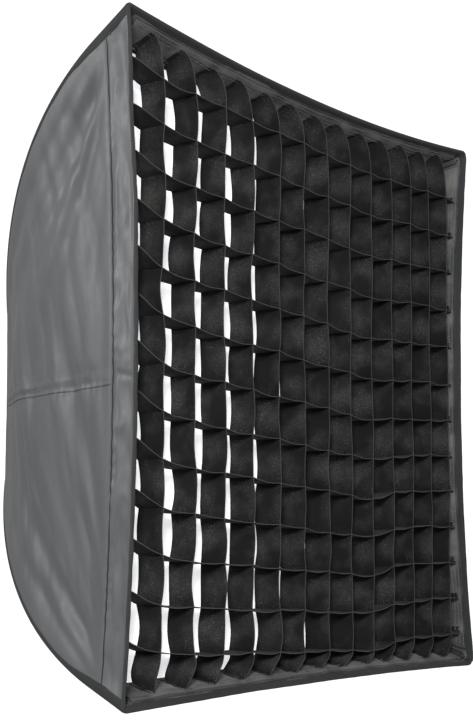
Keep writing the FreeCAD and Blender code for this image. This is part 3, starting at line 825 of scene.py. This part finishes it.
def make_pockets():
    """A sewn pocket in each front corner, flattened on the corner and open to the rear."""
    pieces = []
    for number, corner in enumerate((45.0, 135.0, 225.0, 315.0)):
        tip, along = rod_place(corner, ROD_FRONT - 0.004)
        out = (tip - Vector((0.0, tip.y, 0.0))).normalized()
        out = (out - along * out.dot(along)).normalized()
        wide = along.cross(out)

        def surface(u, v, tip=tip, along=along, out=out, wide=wide, number=number):
            angle = 2.0 * math.pi * u
            closing = soft(v, 0.0, 0.22)
            flare = 1.0 + 0.10 * soft(v, 0.8, 1.0)
            ripple = 0.0003 * noise.noise(Vector((u * 9.0, v * 6.0, number * 3.0)))
            radius = (0.0062 * (0.25 + 0.75 * closing) + ripple) * flare
            across = wide * math.cos(angle) * radius * 1.12
            return tip + along * (v * POCKET_LENGTH) + across + out * math.sin(angle) * radius * 0.92

        pieces.append(lay_cloth("pocket", 32, 18, (0.040, POCKET_LENGTH), surface))
    piece = join(pieces, "corner_pocket_cloth")
    finish_piece(piece, "webbing", "softbox", "corner_pockets", 0.0005, offset=-1.0)


def make_corner_seams():
    """Folded tape over the panels' joint on the box's four corner lines."""
    pieces = []
    order = list(SIDE_TURN)
    for number, side in enumerate(order):
        after = order[(number + 1) % 4]

        def surface(u, v, side=side, after=after, number=number):
            depth = 0.0008 + v * (REAR_DEPTH - 0.004)
            width = CORNER_TAPE * (0.85 + 0.25 * noise.noise(Vector((depth / 0.03, number, 2.0))))
            width += 0.0075 * (1.0 - soft(depth, 0.04, 0.15))
            off = abs(2.0 * u - 1.0) * width
            here, way = (side, 1.0) if u < 0.5 else (after, -1.0)
            rise = 0.0010 - 0.0006 * soft(off, width * 0.6, width)
            rise += 0.0008 * math.exp(-(off / 0.0022) ** 2)
            return skin(here, depth, way * (half_at(depth, -rise) - off), -rise)

        pieces.append(lay_cloth("corner_seam", 12, 150, (2.0 * CORNER_TAPE, CORNER_LENGTH), surface))
    piece = join(pieces, "corner_seam_tape")
    finish_piece(piece, "corner_tape", "softbox", None, 0.0006, smooth=50.0)


def make_shell_stitching():
    rows = []
    for side in SIDE_TURN:
        def lip_path(share, side=side):
            place = (2.0 * share - 1.0) * (half_at(LIP_DEPTH) - 0.006)
            return skin(side, STITCH_DEPTH, place) + outward(side) * 0.0001, outward(side)

        def edge_path(share, side=side):
            place = (2.0 * share - 1.0) * (FRONT_HALF - 0.012)
            return skin(side, 0.0042, place) + outward(side) * 0.0001, outward(side)

        rows += [(190, lip_path), (210, edge_path)]
    for side, seam in SEAM_PLACE.items():
        def seam_path(share, side=side, seam=seam):
            depth = LIP_DEPTH + 0.006 + share * (REAR_DEPTH - LIP_DEPTH - 0.02)
            place = seam * half_at(depth) + 0.0004
            return skin(side, depth, place) + outward(side) * 0.0008, outward(side)

        rows.append((120, seam_path))
    sew("shell_stitches", "softbox", rows)


# ---- Grid ----
def make_columns():
    """The uprights' places at each row: even at the border, pushed to the right below it."""
    places = np.zeros((GRID_CELLS + 1, GRID_CELLS + 1))
    for column in range(GRID_CELLS + 1):
        even = PITCH * (column - GRID_CELLS / 2.0)
        give = 1.0 - (even / GRID_HALF) ** 2
        for row in range(1, GRID_CELLS):
            places[column, row] = even + 0.005 + 0.011 * give
            places[column, row] += 0.0016 * math.sin(column * 2.3 + row * 1.7) + 0.0010 * math.sin(row * 0.9)
        places[column, 0] = even - 0.003
        places[column, GRID_CELLS] = even + 0.002 - 0.003 * give
    return places


def make_levels():
    """The rows' heights at each column: a quick drop by the left border, the lowest point right of the middle."""
    heights = np.zeros((GRID_CELLS + 1, GRID_CELLS + 1))
    for row in range(1, GRID_CELLS):
        share = row / GRID_CELLS
        sag = 0.022 + 0.020 * math.sin(math.pi * share ** 1.15)
        fade = 0.5 - 0.37 * soft(row, 6.0, 10.0)
        for column in range(GRID_CELLS + 1):
            across = (column - GRID_CELLS / 2.0) / (GRID_CELLS / 2.0)
            left = (across + 1.0) / (1.0 + LOWEST)
            if across < LOWEST:
                shape = 0.22 * (1.0 - math.exp(-left / 0.06)) + 0.78 * left ** 1.1 - 0.4 * math.exp(-left / 0.08)
            else:
                shape = 0.56 + 0.44 * math.exp(-(across - LOWEST) / fade)
            heights[column, row] = PITCH * (GRID_CELLS / 2.0 - row) - sag * shape
            heights[column, row] += 0.0011 * math.sin(column * 1.9 + row * 2.9)
    return heights


def along_nodes(values, position):
    """A smooth curve through a strip's crossings, half way to straight lines."""
    index = min(GRID_CELLS - 1, int(position))
    share = position - index
    here, after = values[index], values[index + 1]
    before, beyond = values[max(0, index - 1)], values[min(GRID_CELLS, index + 2)]
    cubic = here + 0.5 * share * (after - before + share * (2.0 * before - 5.0 * here + 4.0 * after - beyond
                                                            + share * (3.0 * (here - after) + beyond - before)))
    return 0.5 * cubic + 0.5 * (here + (after - here) * share)


def grid_depth(position, share):
    """Depth of a strip's point: its front edge draws back where it is sewn to the border."""
    distance = min(position, GRID_CELLS - position) * PITCH
    recess = 0.006 * math.exp(-distance / 0.011)
    return STRIP_FRONT + recess * (1.0 - share) + share * (STRIP_REAR - STRIP_FRONT)


def make_strips(name, node, rail, flange):
    """Thirteen strips; each ends in a narrow flange that is sewn flat on the border."""
    points, faces, flat = [], [], []
    count = GRID_CELLS * SEGMENTS + 1
    for number in range(1, GRID_CELLS):
        base = len(points)
        for step in range(-FLANGE_STEPS, count + FLANGE_STEPS):
            position = min(GRID_CELLS, max(0, step / SEGMENTS))
            over = max(0, -step, step - count + 1)
            for lane in range(LANES + 1):
                share = lane / LANES
                depth = grid_depth(position, share)
                if over:
                    points.append(flange(number, position, depth, over * FLANGE / FLANGE_STEPS))
                else:
                    points.append(rail(number, position, share, depth))
                flat.append((step / SEGMENTS * PITCH, share * (STRIP_REAR - STRIP_FRONT)))
        for step in range(count + 2 * FLANGE_STEPS - 1):
            for lane in range(LANES):
                first = base + step * (LANES + 1) + lane
                faces.append((first, first + 1, first + LANES + 2, first + LANES + 1))
    piece = mesh_piece(name, points, faces, flat)
    finish_piece(piece, "grid_fabric", "grid", node, STRIP_THICKNESS, offset=0.0, smooth=45.0)


def make_grid():
    columns, levels = make_columns(), make_levels()
    count = GRID_CELLS + 1
    bulge = [[random.uniform(-1.0, 1.0) for _ in range(count)] for _ in range(count)]
    twist = [[random.uniform(-1.0, 1.0) for _ in range(count)] for _ in range(count)]
    droop = [[random.uniform(0.3, 1.0) for _ in range(count)] for _ in range(count)]

    def border(side, place, depth):
        return reach(side, depth, place, BORDER_INSET)

    def upright(number, position, share, depth):
        row = min(GRID_CELLS - 1, int(position))
        part = position - row
        hump = math.sin(math.pi * part)
        x = along_nodes(columns[number], position)
        if row == 0:
            x = columns[number, 1] + (columns[number, 0] - columns[number, 1]) * (1.0 - part) ** 2.2
        slack = 0.0022 + 0.0024 * (1.0 - soft(number, 3.0, 9.0)) + 0.0020 * soft(row, 8.0, 12.0)
        x += hump * slack * (bulge[number][row] + 0.7 * twist[number][row] * (0.5 - share))
        if row == GRID_CELLS - 1:
            x += 0.0022 * math.sin(2.0 * math.pi * part) * (1.0 - 0.6 * share)
        x -= 0.0068 * soft(number, 3.8, 6.4) * share * (0.5 + 0.5 * abs(bulge[number][row]))
        x += 0.0006 * noise.noise(Vector((position * 3.1, share * 1.5, number * 5.3)))
        ends = list(levels[number])
        ends[0], ends[-1] = border("top", x, depth), -border("bottom", x, depth)
        z = ends[row] + (ends[row + 1] - ends[row]) * part
        return Vector((x, FRONT_Y + depth + 0.0010 * bulge[number][row] * hump * (1.0 - share), z))

    def level(number, position, share, depth):
        column = min(GRID_CELLS - 1, int(position))
        part = position - column
        hump = math.sin(math.pi * part)
        z = along_nodes(levels[:, number], position)
        z -= hump * 0.0026 * droop[number][column] * (1.1 - 0.8 * share)
        z += hump * 0.0012 * twist[number][column] * (0.5 - share)
        z += 0.0006 * noise.noise(Vector((position * 3.3, share * 1.5, number * 7.1 + 90.0)))
        ends = list(columns[:, number])
        ends[0], ends[-1] = -border("left", z, depth), border("right", -z, depth)
        x = ends[column] + (ends[column + 1] - ends[column]) * part
        return Vector((x, FRONT_Y + depth, z))

    def upright_flange(number, position, depth, over):
        foot = upright(number, position, 0.0, depth)
        side, way = ("top", 1.0) if position == 0 else ("bottom", -1.0)
        x = foot.x - over
        return Vector((x, FRONT_Y + depth, way * (border(side, way * x, depth) + FLANGE_SINK)))

    def level_flange(number, position, depth, over):
        foot = level(number, position, 0.0, depth)
        side, way = ("left", -1.0) if position == 0 else ("right", 1.0)
        z = foot.z + over
        return Vector((way * (border(side, -way * z, depth) + FLANGE_SINK), FRONT_Y + depth, z))

    make_strips("grid_uprights", "grid_vertical_strips", upright, upright_flange)
    make_strips("grid_levels", "grid_horizontal_strips", level, level_flange)


def make_grid_stitching():
    rows = []
    for side in SIDE_TURN:
        for first, second in ((0.0095, 0.0140), (0.0145, 0.0185), (0.0365, 0.0365), (0.0390, 0.0390)):
            def path(share, side=side, first=first, second=second):
                turn = share * ROW_STITCHES / 2.0 % 1.0
                depth = first + (second - first) * (1.0 - abs(2.0 * turn - 1.0))
                place = (2.0 * share - 1.0) * (half_at(depth, BORDER_INSET) - CORNER_GAP - 0.004)
                height = reach(side, depth, place, BORDER_INSET - 0.0006) - 0.0007
                return TURNS[side] @ Vector((place, FRONT_Y + depth, height)), -outward(side)

            rows.append((ROW_STITCHES, path))
    sew("grid_stitches", "grid", rows, "pale_thread", TAPE_THREAD_HALF)


# ---- Diffusers ----
def make_front_diffuser():
    def surface(u, v):
        x_share, z_share = 2.0 * u - 1.0, 1.0 - 2.0 * v
        half = half_at(DIFFUSER_DEPTH, DIFFUSER_INSET)
        x_reach = half - bow_at("right" if x_share > 0.0 else "left", DIFFUSER_DEPTH, z_share)
        z_reach = half - bow_at("top" if z_share > 0.0 else "bottom", DIFFUSER_DEPTH, x_share)
        x, z = x_share * x_reach, z_share * z_reach
        over = abs(x) + abs(z) - (2.0 * half - CORNER_GAP * 1.3)
        if over > 0.0:
            x -= math.copysign(over / 2.0, x)
            z -= math.copysign(over / 2.0, z)
        inner = soft(min(u, 1.0 - u, v, 1.0 - v), 0.0, 0.08)
        bag = 0.0025 * inner * noise.noise(Vector((x / 0.2, z / 0.13, 4.0)))
        crease = 0.0012 * inner * fold(x + z * 0.3, z, 0.05, 0.22, 8.0)
        return Vector((x, FRONT_Y + DIFFUSER_DEPTH + 0.0004 + abs(bag) + abs(crease), z))

    size = 2.0 * half_at(DIFFUSER_DEPTH, DIFFUSER_INSET)
    piece = lay_cloth("diffuser_cloth", 120, 120, (size, size), surface)
    finish_piece(piece, "white_diffuser", "front_diffuser", "front_diffuser_cloth", 0.0004, offset=0.0)


def make_baffle():
    def surface(u, v):
        x, z = (2.0 * u - 1.0), (1.0 - 2.0 * v)
        pull = 0.010 * (1.0 - z * z) * x
        drop = 0.010 * (1.0 - x * x) * z
        inner = soft(min(u, 1.0 - u, v, 1.0 - v), 0.0, 0.1)
        bag = 0.004 * inner * abs(noise.noise(Vector((x * 1.5, z * 2.0, 6.0))))
        hem = 0.0005 * (1.0 - soft(min(u, 1.0 - u, v, 1.0 - v), 0.018, 0.024))
        return Vector((x * BAFFLE_HALF - pull, FRONT_Y + BAFFLE_DEPTH + 0.0004 + bag - hem, z * BAFFLE_HALF - drop))

    size = 2.0 * BAFFLE_HALF
    piece = lay_cloth("baffle_cloth", 100, 100, (size, size), surface)
    finish_piece(piece, "white_baffle", "softbox", "inner_baffle", 0.0007, offset=0.0)


def make_elastics():
    """A strap from each corner of the baffle that loops round the rod."""
    low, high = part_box("baffle_elastics")
    rod_radius = math.hypot(high.x, high.z) - 0.0036
    middle_y = (low.y + high.y) / 2.0
    start = BAFFLE_HALF * math.sqrt(2.0) - 0.014
    loop = 0.0033
    pieces = []
    for corner in (45.0, 135.0, 225.0, 315.0):
        turn = Matrix.Rotation(math.radians(corner), 3, "Y")

        def surface(u, v, turn=turn):
            along = v * (rod_radius - start + 2.0 * math.pi * loop)
            reach_end = rod_radius - start - loop
            if along < reach_end:
                y, z = 0.0, start + along
            else:
                angle = (along - reach_end) / loop
                y, z = loop * math.sin(angle), rod_radius - loop * math.cos(angle)
            thin = 1.0 - 0.10 * math.sin(math.pi * min(1.0, along / reach_end))
            return turn @ Vector(((u - 0.5) * 0.010 * thin, middle_y + y, z))

        pieces.append(lay_cloth("elastic", 6, 70, (0.010, 0.09), surface))
    piece = join(pieces, "elastic_straps")
    finish_piece(piece, "elastic", "softbox", "baffle_elastics", 0.0008, offset=0.0)


dress_frame()
make_camera()
make_stage()
for panel in (("top", "top", -1.0, 1.0), ("bottom", "bottom", -1.0, 1.0),
              ("left_lower", "left", -1.0, -SEAM_DROP), ("left_upper", "left", -SEAM_DROP, 1.0),
              ("right_upper", "right", -1.0, SEAM_DROP), ("right_lower", "right", SEAM_DROP, 1.0)):
    make_shell_panel(*panel)
for side_name in SIDE_TURN:
    make_lip(side_name)
    make_lining(side_name)
make_bands("grid_loops", "grid_loop_tape", "loop_tape", "softbox", 0.006, GRID_TAPE_REAR, TAPE_INSET, TAPE)
make_bands("diffuser_loops", "diffuser_loop_tape", "loop_tape", "softbox", DIFFUSER_DEPTH,
           DIFFUSER_DEPTH + DIFFUSER_TAPE, TAPE_INSET, TAPE)
make_bands("grid_hooks", "grid_hook_tape", "hook_tape", "grid", 0.0065, GRID_TAPE_REAR, HOOK_INSET, TAPE)
make_bands("diffuser_hooks", "front_diffuser_hook_tape", "hook_tape", "front_diffuser", DIFFUSER_DEPTH + 0.001,
           DIFFUSER_DEPTH + DIFFUSER_TAPE, HOOK_INSET, TAPE)
make_bands("grid_band", "grid_border", "border_tape", "grid", 0.0075, BORDER_REAR, HOOK_INSET + TAPE + LAYER_GAP,
           0.0010, ripple=0.0004)
make_front_binding()
make_rear_binding()
make_pockets()
make_corner_seams()
make_shell_stitching()
make_grid()
make_grid_stitching()
make_front_diffuser()
make_baffle()
make_elastics()
